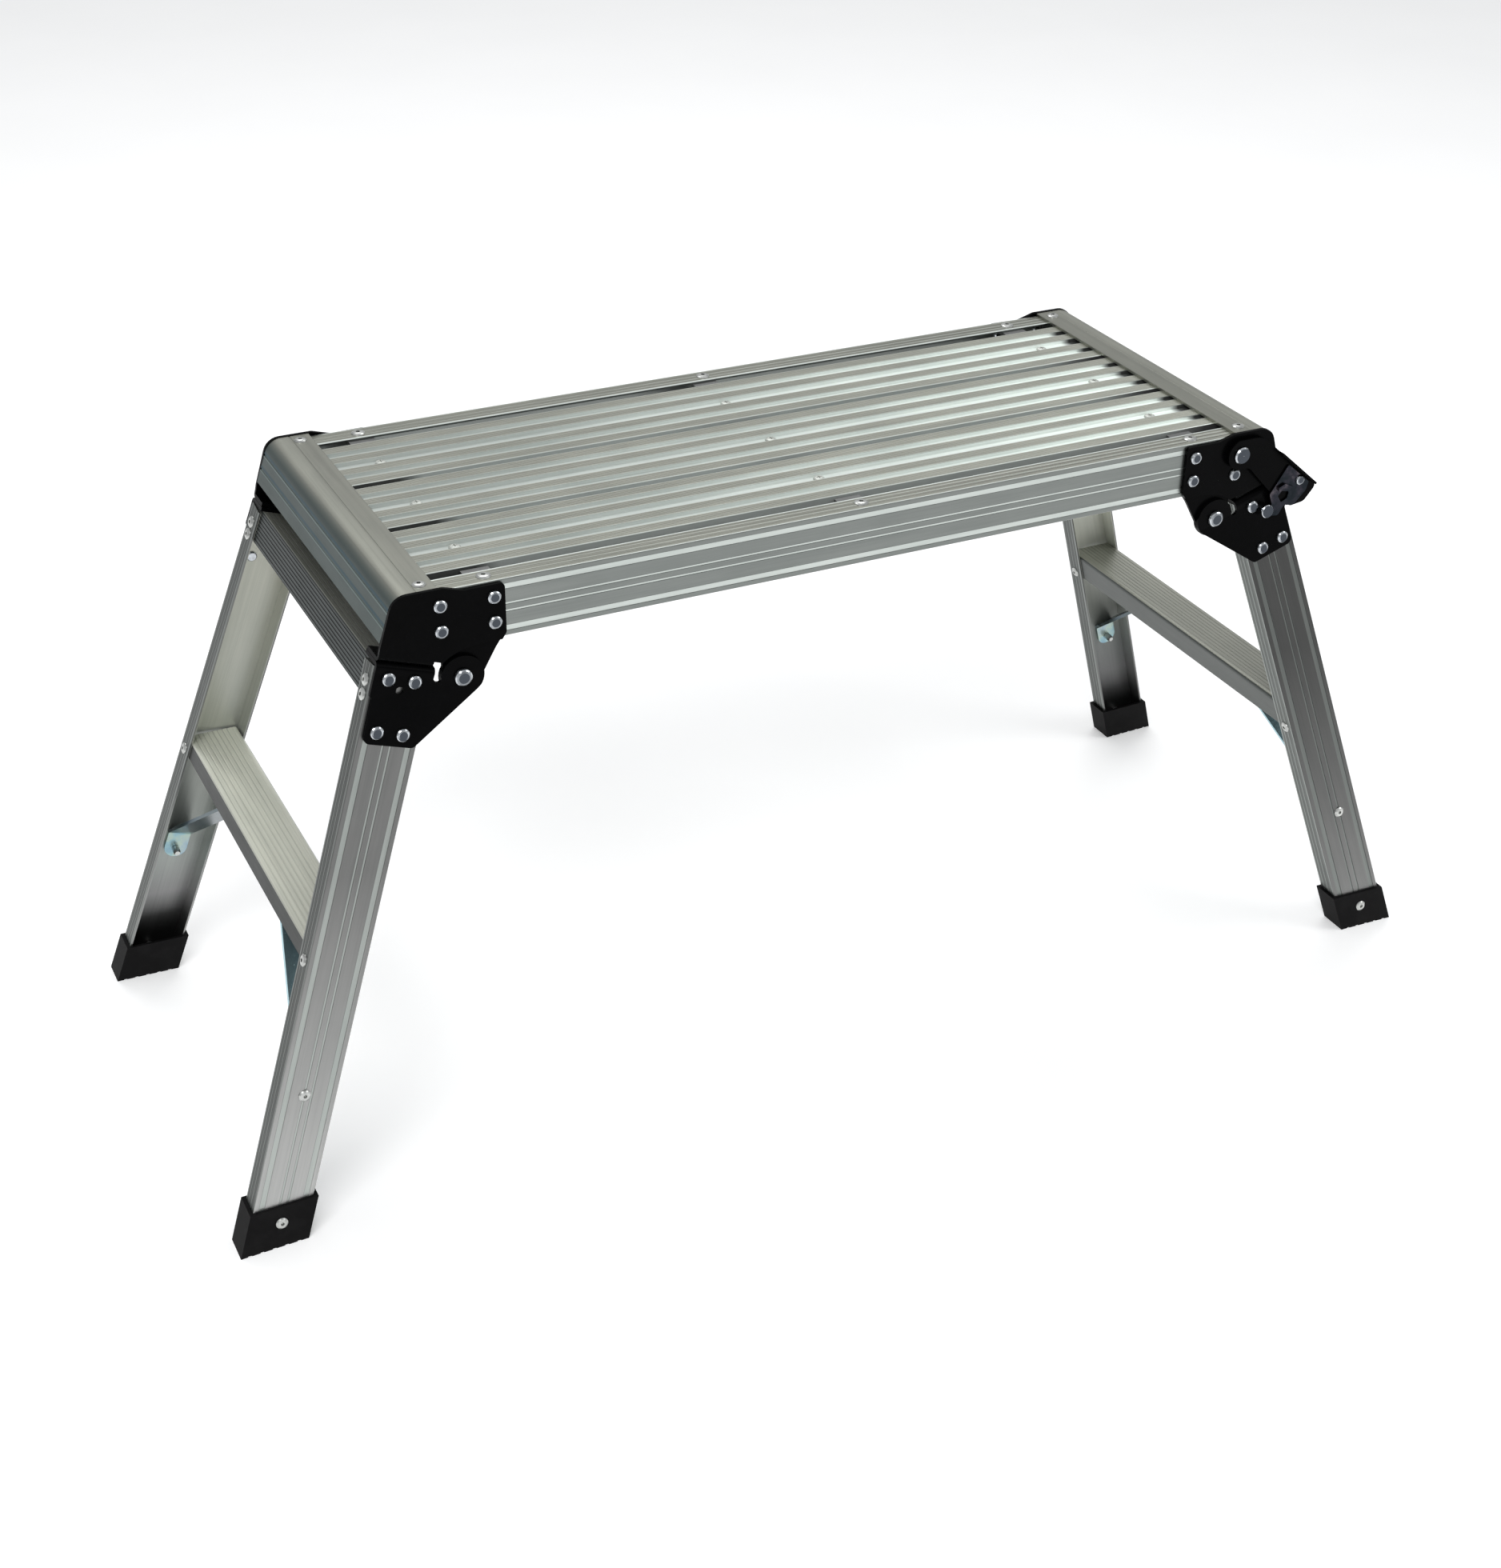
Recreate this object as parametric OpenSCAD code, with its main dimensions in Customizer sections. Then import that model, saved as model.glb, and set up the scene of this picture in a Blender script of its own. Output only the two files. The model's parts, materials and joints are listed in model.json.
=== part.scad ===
// Folding aluminium work platform bench.
// Frame: X along the deck, Y across it, Z up. Origin on the floor, under the middle of the deck.
// "front" is -Y, "rear" is +Y, "left" is -X, "right" is +X.

/* [Deck] */
// Height of the tread surface above the floor
deck_top = 508; // [480:1:540]
// Outside width over the webs of the two side rails
rail_width = 312; // [300:1:330]
// Distance from the middle to the cut end of a rail or plank
rail_end_x = 372; // [366:1:376]
// Distance from one plank's centre line to the next
plank_pitch = 86; // [84:0.5:87]
// Width of one plank
plank_w = 78.6; // [74:0.2:80]
// Depth of one plank, tread to underside
plank_h = 18; // [12:1:24]

/* [Extrusion shared by rails and legs] */
// Width of the channel over its flanges
chan_w = 46.5; // [44:0.5:50]
// Depth of the channel, back of the web to the flange edge
chan_d = 20; // [18:0.5:22]
// Wall thickness of the channel
chan_t = 2; // [1.6:0.1:2.4]

/* [Hinges] */
// Distance of each hinge line from the middle of the deck
pivot_x = 336; // [330:1:342]
// Height of each hinge line above the floor
pivot_z = 437.2; // [434:0.1:440]
// Sheet thickness of the hinge plates
plate_t = 3; // [2.5:0.1:3]
// Radius of the hinge pins
pin_r = 5; // [4:0.1:6]
// Radial running clearance of the lower plates on the hinge pins
pin_clear = 0.08; // [0.03:0.01:0.1]

/* [Legs] */
// Splay of each leg frame from the vertical, seen from the side
splay = 18.8; // [17:0.1:20]
// Flare of each leg inside its frame, seen along the deck
flare = 6.6; // [5:0.1:7]
// Distance of the leg's outer flange from the hinge line
leg_v = 69; // [68:0.5:70]
// Height of the rim of each foot above the floor
foot_rim = 35.5; // [30:0.5:40]
// Distance down the frame from the hinge line to the outer tread edge of the step
step_u = 229.6; // [210:0.1:260]

/* [Latch] */
// Distance of the latch rivet from the middle of the deck
latch_x = 352.5; // [350:0.5:354]
// Height of the latch rivet above the floor
latch_z = 493.4; // [492:0.1:495]

/* [View] */
// Which node to draw

/* [Hidden] */
$fn = 48;
eps = 0.01;
// half the width over the rail webs
rail_y = rail_width / 2;
// nose extrusion: wall, top, inner edge and outer face in hinge coordinates
nose_t = 2.5;
nose_top = deck_top + nose_t;
nose_x = 350;
nose_v = 69.5;
nose_end_u = -17;
nose_r = 15;
// gap left between moving pieces
gap = 0.3;
// outside faces of the upper plates, and of their set-in ears
up_out = rail_y + plate_t;
ear_in = rail_y - plate_t + 0.4;
ear_out = ear_in + plate_t;
// inside face of the lower plates at the hinge line
low_in = ear_out + 0.4;
low_out = low_in + plate_t;
bend_u = 8.6;
slot_v = 25;
low_slot_v = 22.3;
tan_f = tan(flare);
// contact plane of the two plate flanges
stop_u = -3.5;
low_top_u = stop_u + gap;
// leg section in hinge coordinates
leg_in_v = leg_v - chan_w;
bar_out_v = leg_v - chan_t - 0.1;
bar_in_v = leg_in_v + chan_t + 0.1;
// rivets of the upper plates, [x, z]
up_inner = [[308.8, 496.7], [308.8, 476.2]];
up_mid = [[350.3, 497.7], [350.3, 477.1]];
up_mid_latch = [[351, 474.4]];
// latch lever and tongue, distances from the middle along Y
lever_in = up_out + 3;
lever_out = lever_in + 2;
tongue_out = lever_out + 1.5;
latch_journal = 5;
// rivets of the lower plates, [v, u], and the catch pin's place
low_rivets = [[36.6, 8.4], [57.3, 8.4], [36.6, 49.5], [57.3, 49.5]];
low_rivets_latch = [[36.6, 8.4], [36.6, 49.5], [57.3, 49.5]];
catch_vu = [46.4, 16.5];
catch_r = 4;
// rivets of the leg frames
bar_riv_u = [14.2, 25.3];
step_riv_u = 237.6;
brace_riv = [48.5, 346];
foot_riv = [45, 455];
// deck fixings
screw_x = [-312, -4.5, 312];
rail_riv_x = [-311.5, 1.5, 311.5];
rail_riv_y = rail_y - 10.6;
nose_riv_x = 360.5;
nose_riv_y = 144.5;
member_w = 30;
member_h = 28;
member_x = [-312, -1.5, 312];
bracket_w = 22;
bracket_in = 127;

// ---------- colours ----------
alu = [0.71, 0.71, 0.68];
alu_deck = [0.74, 0.74, 0.71];
black_paint = [0.07, 0.07, 0.07];
black_rubber = [0.10, 0.10, 0.10];
zinc = [0.55, 0.66, 0.72];
steel = [0.66, 0.67, 0.70];

// ---------- helpers ----------
// a drawing in X and Z, given depth along Y
module xz(y0, y1) translate([0, y1, 0]) rotate([90, 0, 0]) linear_extrude(y1 - y0) children();
// a drawing in Y and Z, given length along X
module yz(x0, x1) translate([x0, 0, 0]) rotate([90, 0, 90]) linear_extrude(x1 - x0) children();
// a cylinder along Y
module ycyl(x, z, y0, y1, r) translate([x, y1, z]) rotate([90, 0, 0]) cylinder(r = r, h = y1 - y0);
// a cylinder along X
module xcyl(y, z, x0, x1, r) translate([x0, y, z]) rotate([0, 90, 0]) cylinder(r = r, h = x1 - x0);
// points of an arc
function arc(c, r, a0, a1, n = 8) = [for (i = [0:n]) let (a = a0 + (a1 - a0) * i / n)
  [c[0] + r * cos(a), c[1] + r * sin(a)]];
// one rounded corner of an outline, b is the corner between a and c
function fillet(a, b, c, r, n = 6) = let (
  p = (a - b) / norm(a - b), q = (c - b) / norm(c - b),
  half = acos(p * q) / 2, d = r / tan(half), m = (p + q) / norm(p + q),
  o = b + m * r / sin(half), s = b + p * d - o, e = b + q * d - o,
  a0 = atan2(s[1], s[0]), raw = atan2(e[1], e[0]) - a0,
  sw = raw > 180 ? raw - 360 : raw < -180 ? raw + 360 : raw)
  r <= 0 ? [b] : [for (i = [0:n]) o + r * [cos(a0 + sw * i / n), sin(a0 + sw * i / n)]];
// an outline with a radius at each corner, points given as [x, y, r]
function rounded(p) = [for (i = [0:len(p) - 1]) let (k = len(p),
  a = p[(i + k - 1) % k], b = p[i], c = p[(i + 1) % k])
  each fillet([a[0], a[1]], [b[0], b[1]], [c[0], c[1]], b[2])];
// hinge coordinates of the left frame to X and Z, v outwards and u downwards
function vu(v, u) = [-v, -u];
function vu_xz(v, u) = [pivot_x + u * sin(splay) + v * cos(splay), pivot_z - u * cos(splay)
  + v * sin(splay)];
// move a drawing in left-frame coordinates into place
module left_frame() translate([-pivot_x, 0, pivot_z]) rotate([0, splay, 0]) children();
module right_frame() mirror([1, 0, 0]) left_frame() children();
module rear() mirror([0, 1, 0]) children();
module right() mirror([1, 0, 0]) children();
// a row of shallow square grooves on an edge that runs along x at height 0, cut downwards
function groove(c, w, d) = [[c - w / 2, 0], [c - w / 2, -d], [c + w / 2, -d], [c + w / 2, 0]];
// turn a fastener drawn with its head up so that the head faces the front,
// or outwards and inwards on a left leg
module head_front() rotate([90, 0, 0]) children();
module head_out() rotate([0, -90, 0]) children();
module head_in() rotate([0, 90, 0]) children();
// a solid rivet, head up, the head's underside at height 0
module plate_rivet(head_r, head_h, shank_r, grip, tail_r, tail_h) rotate_extrude() polygon(concat(
  [[0, -grip - tail_h], [tail_r * 0.8, -grip - tail_h], [tail_r, -grip - tail_h * 0.6], [tail_r, -grip]],
  [[shank_r, -grip], [shank_r, 0], [head_r, 0], [head_r, head_h * 0.3]],
  [[head_r * 0.94, head_h * 0.66], [head_r * 0.8, head_h * 0.9], [head_r * 0.6, head_h], [0, head_h]]));
// a blind rivet, head up, with its mandrel hole in the head
module blind_rivet(head_r, head_h, shank_r, grip, tail_r, tail_h) rotate_extrude() polygon(concat(
  [[0, -grip - tail_h], [tail_r * 0.7, -grip - tail_h], [tail_r, -grip - tail_h * 0.7], [tail_r, -grip]],
  [[shank_r, -grip], [shank_r, 0], [head_r, 0], [head_r * 0.97, head_h * 0.35]],
  [[head_r * 0.75, head_h * 0.8], [head_r * 0.4, head_h], [head_r * 0.3, head_h], [head_r * 0.3, -0.6],
    [0, -0.6]]));

// ---------- the shared channel ----------
web_groove = 0.4;
rib = 0.3;
// grooves along the back of the web, [start, end]
web_lines = [[4, 8.5], [19.4, 21.1], [25.4, 27.1], [38, 42.5]];
flange_lines = [for (i = [0:4]) 4.2 + i * 2.9];
function channel_pts() = concat(
  [[0, 0.6], [0.6, 0]],
  [for (g = web_lines) each [[g[0], 0], [g[0], web_groove], [g[1], web_groove], [g[1], 0]]],
  [[chan_w - 0.6, 0], [chan_w, 0.6]],
  [for (c = flange_lines) each [[chan_w, c - 0.5], [chan_w - rib, c - 0.2], [chan_w - rib, c + 0.2],
    [chan_w, c + 0.5]]],
  [[chan_w, chan_d - 0.5], [chan_w - 0.5, chan_d], [chan_w - chan_t, chan_d], [chan_w - chan_t,
    chan_t], [chan_t, chan_t]],
  [[chan_t, chan_d], [0.5, chan_d], [0, chan_d - 0.5]],
  [for (i = [4:-1:0]) let (c = flange_lines[i]) each [[0, c + 0.5], [rib, c + 0.2], [rib, c - 0.2], [0,
    c - 0.5]]]);

// ---------- deck ----------
// half-widths that bound the strips of a plank: trough, inner strip, groove, outer strip
trough_h = 6.5;
strip1 = 18;
strip2 = 27;
trough_d = 3;
groove_d = 2.6;
skin = 2;
function strip_grooves(a, b) = [for (i = [1:4]) let (c = a + (b - a) * i / 5)
  each [[c - 0.45, 0], [c - 0.15, -rib], [c + 0.15, -rib], [c + 0.45, 0]]];
function plank_half() = concat(
  [[0, -trough_d], [trough_h - 0.6, -trough_d], [trough_h, 0]],
  strip_grooves(trough_h, strip1),
  [[strip1, 0], [strip1 + 0.5, -groove_d], [strip2 - 0.5, -groove_d], [strip2, 0]],
  strip_grooves(strip2, plank_w / 2),
  [[plank_w / 2 - 0.5, 0], [plank_w / 2, -0.5], [plank_w / 2, -plank_h], [plank_w / 2 - 6, -plank_h]],
  [[plank_w / 2 - 6, -plank_h + 2], [plank_w / 2 - 2, -plank_h + 2], [plank_w / 2 - 2, -groove_d - skin]],
  [[6, -groove_d - skin], [6, -trough_d - skin], [3.5, -trough_d - skin], [3.5, -plank_h], [0,
    -plank_h]]);
module plank(yc) {
  half = plank_half();
  color(alu_deck) difference() {
    translate([0, yc, deck_top]) yz(-rail_end_x, rail_end_x)
      polygon(concat(half, [for (i = [len(half) - 1:-1:0]) [-half[i][0], half[i][1]]]));
    for (x = screw_x) translate([x, yc, deck_top - plank_h - 1]) cylinder(r = 2.3, h = plank_h);
  }
}
module deck_plank_front() plank(-plank_pitch);
module deck_plank_middle() plank(0);
module deck_plank_rear() plank(plank_pitch);

module deck_screws() color(steel) for (x = screw_x, k = [-1:1])
  translate([x, k * plank_pitch, deck_top - trough_d]) difference() {
    rotate_extrude() polygon([[0, -plank_h - 6], [1.2, -plank_h - 4], [2.2, -plank_h], [2.2, 0], [4.8, 0],
      [4.8, 0.5], [4, 1.4], [2.6, 1.9], [0, 2]]);
    for (a = [0, 90]) rotate([0, 0, a]) translate([-2.2, -0.4, 1]) cube([4.4, 0.8, 2]);
  }

// side rail, drawn at the front, with the hole lists of its two ends
module rail_body(left_holes, right_holes) {
  pts = channel_pts();
  color(alu) difference() {
    yz(-rail_end_x, rail_end_x) polygon([for (p = pts) [p[1] - rail_y, deck_top - p[0]]]);
    for (x = rail_riv_x) translate([x, -rail_riv_y, deck_top - 5]) cylinder(r = 3.1, h = 10);
    for (s = [-1, 1]) translate([s * nose_riv_x, -nose_riv_y, deck_top - 5]) cylinder(r = 2.5, h = 10);
    for (q = left_holes) ycyl(-q[0], q[1], -rail_y - 1, -rail_y + 5, q[2]);
    for (q = right_holes) ycyl(q[0], q[1], -rail_y - 1, -rail_y + 5, q[2]);
  }
}
plain_holes = [for (q = concat(up_inner, up_mid)) [q[0], q[1], 3.1]];
latch_holes = concat([for (q = concat(up_inner, up_mid_latch)) [q[0], q[1], 3.1]], [[latch_x, latch_z,
  4]]);
module side_rail_front() rail_body(plain_holes, latch_holes);
module side_rail_rear() rear() rail_body(plain_holes, plain_holes);

module rail_rivets() color(steel) for (x = rail_riv_x, s = [-1, 1])
  translate([x, s * rail_riv_y, deck_top]) blind_rivet(5.8, 1.6, 3, 4.6, 4, 3);

// angle brackets that carry the ends of the cross-members
bracket_top = deck_top - chan_t - 0.05;
bracket_t = 2.5;
bracket_bot = deck_top - chan_w + 3;
module bracket(x) difference() {
  yz(x - bracket_w / 2, x + bracket_w / 2) polygon([[-rail_y + 4, bracket_top], [-bracket_in,
    bracket_top],
    [-bracket_in, bracket_bot], [-bracket_in - bracket_t, bracket_bot],
    [-bracket_in - bracket_t, bracket_top - bracket_t], [-rail_y + 4, bracket_top - bracket_t]]);
  for (rx = rail_riv_x) translate([rx, -rail_riv_y, deck_top - 8]) cylinder(r = 3.1, h = 10);
  for (z = member_riv_z) ycyl(x, z, -bracket_in - 5, -bracket_in + 2, 2.1);
}
module rail_brackets() color(alu) for (x = member_x) {
  bracket(x);
  rear() bracket(x);
}
member_top = deck_top - plank_h - 0.05;
member_riv_z = [member_top - 8, member_top - 20];
// cross-members, a channel open downwards with closed ends
module cross_member(x) color(alu) difference() {
  translate([x - member_w / 2, -bracket_in + 0.05, member_top - member_h])
    cube([member_w, 2 * bracket_in - 0.1, member_h]);
  translate([x - member_w / 2 + 2, -bracket_in + 3, member_top - member_h - 1])
    cube([member_w - 4, 2 * bracket_in - 6, member_h - 1]);
  for (sx = screw_x, k = [-1:1]) translate([sx, k * plank_pitch, member_top - 5]) cylinder(r = 2.3,
    h = 8);
  for (z = member_riv_z, s = [-1, 1]) ycyl(x, z, s * bracket_in - 4, s * bracket_in + 4, 2.1);
}
module cross_member_left() cross_member(member_x[0]);
module cross_member_middle() cross_member(member_x[1]);
module cross_member_right() cross_member(member_x[2]);
module bracket_rivets() color(steel) for (x = member_x, z = member_riv_z) {
  translate([x, -bracket_in - bracket_t, z]) head_front() blind_rivet(3.6, 1.2, 2, 5.6, 2.8, 2);
  rear() translate([x, -bracket_in - bracket_t, z]) head_front() blind_rivet(3.6, 1.2, 2, 5.6, 2.8, 2);
}

// nose: flat top, rounded shoulder, sloping face in line with the legs, lower lip
function nose_at(v, u) = [-vu_xz(v, u)[0], vu_xz(v, u)[1]];
nose_corner_x = pivot_x + (nose_v - (nose_top - pivot_z) * sin(splay)) / cos(splay);
module nose_profile() {
  out_corner = [-nose_corner_x, nose_top];
  in_corner_x = pivot_x + (nose_v - nose_t - (deck_top - pivot_z) * sin(splay)) / cos(splay);
  low_out = nose_at(nose_v, nose_end_u);
  low_in = nose_at(nose_v - nose_t, nose_end_u - nose_t);
  lip_a = nose_at(nose_v - 16, nose_end_u);
  lip_b = nose_at(nose_v - 16, nose_end_u - nose_t);
  g = [for (u = [-29, -41.2]) each [nose_at(nose_v, u + 0.9), nose_at(nose_v - 0.5, u + 0.5),
    nose_at(nose_v - 0.5, u - 0.5), nose_at(nose_v, u - 0.9)]];
  polygon(concat(
    [[-nose_x, deck_top], [-nose_x, nose_top - 0.4], [-nose_x - 0.4, nose_top]],
    [[-366, nose_top], [-366.3, nose_top - 0.25], [-367, nose_top - 0.25], [-367.3, nose_top]],
    fillet([-nose_x, nose_top], out_corner, low_out, nose_r, 14),
    [for (i = [len(g) - 1:-1:0]) g[i]],
    [low_out, lip_a, lip_b, low_in],
    fillet(low_in, [-in_corner_x, deck_top], [-nose_x, deck_top], nose_r - nose_t, 10)));
}
module nose_body() color(alu_deck) difference() {
  xz(-rail_y, rail_y) nose_profile();
  for (s = [-1, 1]) translate([-nose_riv_x, s * nose_riv_y, deck_top - 2]) cylinder(r = 2.5, h = 8);
}
module end_nose_left() nose_body();
module end_nose_right() right() nose_body();
module nose_rivets() color(steel) for (sx = [-1, 1], sy = [-1, 1])
  translate([sx * nose_riv_x, sy * nose_riv_y, nose_top]) blind_rivet(5.3, 1.6, 2.4, nose_t + chan_t,
    3.6, 3);

// ---------- upper hinge plates ----------
// outline at the front left, [x, z, corner radius], the ear's lower edge round the pin
function up_outline() = let (
  a = nose_at(leg_v + 0.2, -14), b = nose_at(leg_v - 0.4, -bend_u), c = nose_at(slot_v, -bend_u),
  d = nose_at(18, -bend_u)) concat(
  [[-300, 506.8, 4], [-331, 506.4, 12], [-347, 511.1, 10], [-nose_corner_x - 0.6, nose_top + 0.5, 14.5],
    [a[0], a[1], 4], [b[0], b[1], 1.5], [c[0], c[1], 0], [d[0], d[1], 1.5]],
  [for (p = arc([-pivot_x, pivot_z], 17, 148, 352, 22)) [p[0], p[1], 0]],
  [[-308, 454.4, 20], [-300, 466, 4]]);
// the set-in ear lies under this line
function ear_line() = [[-290, 400], [-290, 460.8], [-322, 460.8], [-337, 458.5], [-346, 454.2],
  [-352, 449.8], [-360, 449.8], [-360, 400]];
function ear_band() = [[-290, 460.8], [-322, 460.8], [-337, 458.5], [-346, 454.2], [-352, 449.8],
  [-355, 451.4], [-347.6, 457], [-338, 461.4], [-322, 463.8], [-290, 463.8]];
module upper_plate_body(mid) {
  color(black_paint) difference() {
    union() {
      intersection() {
        xz(-up_out, -up_out + plate_t) polygon(rounded(up_outline()));
        xz(-up_out - 1, -rail_y + 1) difference() {
          translate([-420, 400]) square([140, 130]);
          polygon(ear_line());
        }
      }
      intersection() {
        xz(-ear_out, -ear_in) polygon(rounded(up_outline()));
        xz(-ear_out - 1, -ear_in + 1) polygon(ear_line());
      }
      intersection() {
        xz(-up_out, -ear_in) polygon(rounded(up_outline()));
        xz(-up_out - 1, -ear_in + 1) difference() {
          polygon(ear_band());
          translate([-300, 461.4]) square([20, 10]);
          translate([-420, 461.4]) square([140, 10]);
        }
      }
      left_frame() yz(-leg_v + 0.4, -slot_v) polygon(concat(
        [[-up_out, bend_u + 3], [-up_out, -stop_u + 4.5]],
        arc([-up_out + 4.5, -stop_u + 4.5], 4.5, 180, 270, 6),
        [[-136, -stop_u], [-136, -stop_u + plate_t], [-rail_y - eps, -stop_u + plate_t], [-rail_y,
          bend_u + 3]]));
    }
    for (q = concat(up_inner, mid)) ycyl(-q[0], q[1], -up_out - 1, -rail_y + 1, 3.1);
    ycyl(-pivot_x, pivot_z, -up_out - 1, -ear_in + 1, pin_r + 0.02);
  }
}
module latch_plate_body() difference() {
  upper_plate_body(up_mid_latch);
  ycyl(-latch_x, latch_z, -up_out - 1, -rail_y + 1, 4);
}
module upper_plate_front_left() upper_plate_body(up_mid);
module upper_plate_rear_left() rear() upper_plate_body(up_mid);
module upper_plate_front_right() right() latch_plate_body();
module upper_plate_rear_right() right() rear() upper_plate_body(up_mid);

// rivets of a plate drawn at the front left
module up_rivet_set(list) for (q = list)
  translate([-q[0], -up_out, q[1]]) head_front() plate_rivet(5.4, 2.8, 3, plate_t + chan_t, 4.5, 1.6);
module upper_plate_rivets() color(steel) {
  up_rivet_set(concat(up_inner, up_mid));
  rear() up_rivet_set(concat(up_inner, up_mid));
  right() up_rivet_set(concat(up_inner, up_mid_latch));
  right() rear() up_rivet_set(concat(up_inner, up_mid));
}
// hinge pins: head outside the lower plate, tail inside the ear
module hinge_pin() translate([-pivot_x, -low_out - gap, pivot_z]) head_front()
  plate_rivet(7.1, 3.4, pin_r, low_out + gap - ear_in, 6.6, 2);
module hinge_pins() color(steel) {
  hinge_pin();
  rear() hinge_pin();
  right() hinge_pin();
  right() rear() hinge_pin();
}

// ---------- leg frames, drawn as the left frame's front side ----------
cos_f = cos(flare);
// the leg's web lies in a plane leaned outwards about a line just below the hinge
module flared() translate([0, -low_in, -5]) rotate([-flare, 0, 0]) children();
function fz(u) = -(u - 5) / cos_f;
function web_y(u) = -(low_in + tan_f * (u - 5));
floor_t = 3.5;
flange_mid = 9.8;
module over_floor(z) intersection() {
  children();
  translate([-700, -400, z]) cube([1400, 800, 700]);
}
module web_holes(list, r) for (q = list) ycyl(-q[0], fz(q[1]), -6, 4, r);
module leg_body(plate_holes, catch) {
  pts = channel_pts();
  color(alu) over_floor(floor_t) left_frame() difference() {
    flared() translate([0, 0, -520]) linear_extrude(520 + 4.5) polygon([for (p = pts) [-leg_v + p[0],
      p[1]]]);
    flared() {
      web_holes(plate_holes, 3.1);
      web_holes(catch, 3.1);
      web_holes([brace_riv, foot_riv], 2.6);
      for (u = bar_riv_u) xcyl(flange_mid, fz(u), -leg_v - 1, -leg_v + 4, 2.6);
      for (x = [-leg_v, -leg_in_v - chan_t]) xcyl(flange_mid, fz(step_riv_u), x - 1, x + 3, 2.6);
    }
  }
}
module leg_front_left() leg_body(low_rivets, []);
module leg_rear_left() rear() leg_body(low_rivets, []);
module leg_front_right() right() leg_body(low_rivets_latch, [catch_vu]);
module leg_rear_right() right() rear() leg_body(low_rivets, []);

// top crossbar between the legs, an angle with a ribbed face and a short inner lip
bar_u0 = 0.2;
bar_h = 28.3;
bar_len = 153;
bar_t = 2;
module crossbar() color(alu) left_frame() difference() {
  xz(-bar_len, bar_len) polygon(concat(
    [[-bar_out_v, -bar_u0 - 1], [-bar_out_v + 1, -bar_u0]],
    [for (i = [0:8]) let (c = -bar_out_v + 5 + i * 4)
      each [[c - 0.45, -bar_u0], [c - 0.15, -bar_u0 - rib], [c + 0.15, -bar_u0 - rib], [c + 0.45,
        -bar_u0]]],
    [[-bar_in_v, -bar_u0], [-bar_in_v, -bar_u0 - 12], [-bar_in_v - bar_t, -bar_u0 - 12]],
    [[-bar_in_v - bar_t, -bar_u0 - bar_t], [-bar_out_v + bar_t, -bar_u0 - bar_t]],
    [[-bar_out_v + bar_t, -bar_u0 - bar_h], [-bar_out_v, -bar_u0 - bar_h]],
    [for (i = [7:-1:0]) let (c = -bar_u0 - 3 - i * 3.2)
      each [[-bar_out_v, c - 0.5], [-bar_out_v + rib, c - 0.2], [-bar_out_v + rib, c + 0.2],
        [-bar_out_v, c + 0.5]]]));
  for (u = bar_riv_u, s = [0, 1]) mirror([0, s, 0]) flared() xcyl(flange_mid, fz(u), -leg_v - 1,
    -leg_v + 6, 2.6);
}
module top_crossbar_left() crossbar();
module top_crossbar_right() right() crossbar();

// step, a channel open downwards whose tread is level when the bench stands
step_len = 177.5;
step_t = 2;
step_low_u = 243;
function tread_u(v) = step_u + (v - leg_v) * tan(splay);
module step_body() {
  o = [-bar_out_v, -tread_u(bar_out_v)];
  i = [-bar_in_v, -tread_u(bar_in_v)];
  oi = [-bar_out_v + step_t, -tread_u(bar_out_v - step_t) - step_t / cos(splay)];
  ii = [-bar_in_v - step_t, -tread_u(bar_in_v + step_t) - step_t / cos(splay)];
  d = [cos(splay), sin(splay)];
  n = [sin(splay), -cos(splay)];
  color(alu) left_frame() difference() {
    xz(-step_len, step_len) polygon(concat(
      [[-bar_out_v, -step_low_u]], fillet([-bar_out_v, -step_low_u], o, i, 1.5, 5),
      [for (k = [0:8]) let (c = o + d * (4.5 + k * 4.2)) each [c, c + d * 0.3 + n * rib,
        c + d * 0.6 + n * rib, c + d * 0.9]],
      fillet(o, i, [-bar_in_v, -step_low_u], 3.2, 6), [[-bar_in_v, -step_low_u]],
      [[-bar_in_v - step_t, -step_low_u], ii, oi, [-bar_out_v + step_t, -step_low_u]]));
    for (s = [0, 1]) mirror([0, s, 0]) flared()
      for (x = [-leg_v, -leg_in_v - 5]) xcyl(flange_mid, fz(step_riv_u), x - 1, x + 6, 2.6);
  }
}
module step_left() step_body();
module step_right() right() step_body();

// flat brace from the leg's web to the underside of the step
brace_v = 48.5;
brace_w = 20;
brace_t = 3;
brace_u = 329;
brace_end = 345;
brace_tilt = 37.5;
brace_top_u = 228.8;
module brace_body() {
  n1 = [cos(flare), -sin(flare)];
  n2 = [sin(brace_tilt), -cos(brace_tilt)];
  n3 = [0, -1];
  w = [chan_t / cos_f + 0.02, 0];
  v0 = [web_y(brace_u), -brace_u] + w;
  b0 = [web_y(brace_end), -brace_end] + w;
  e0 = v0 + [(brace_u - brace_top_u) / tan(brace_tilt), brace_u - brace_top_u];
  t0 = e0 + [24, 0];
  vm = v0 + brace_t * (n1 + n2) / (1 + n1 * n2);
  em = e0 + brace_t * (n2 + n3) / (1 + n2 * n3);
  color(zinc) left_frame() difference() {
    union() {
      yz(-brace_v - brace_w / 2, -brace_v + brace_w / 2)
        polygon([b0, v0, e0, t0, t0 + brace_t * n3, em, vm, b0 + brace_t * n1]);
      flared() ycyl(-brace_v, fz(brace_end), chan_t + 0.02, chan_t + 0.02 + brace_t, brace_w / 2);
    }
    flared() ycyl(-brace_riv[0], fz(brace_riv[1]), 0, 10, 2.6);
  }
}
module brace_front_left() brace_body();
module brace_rear_left() rear() brace_body();
module brace_front_right() right() brace_body();
module brace_rear_right() right() rear() brace_body();

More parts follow.
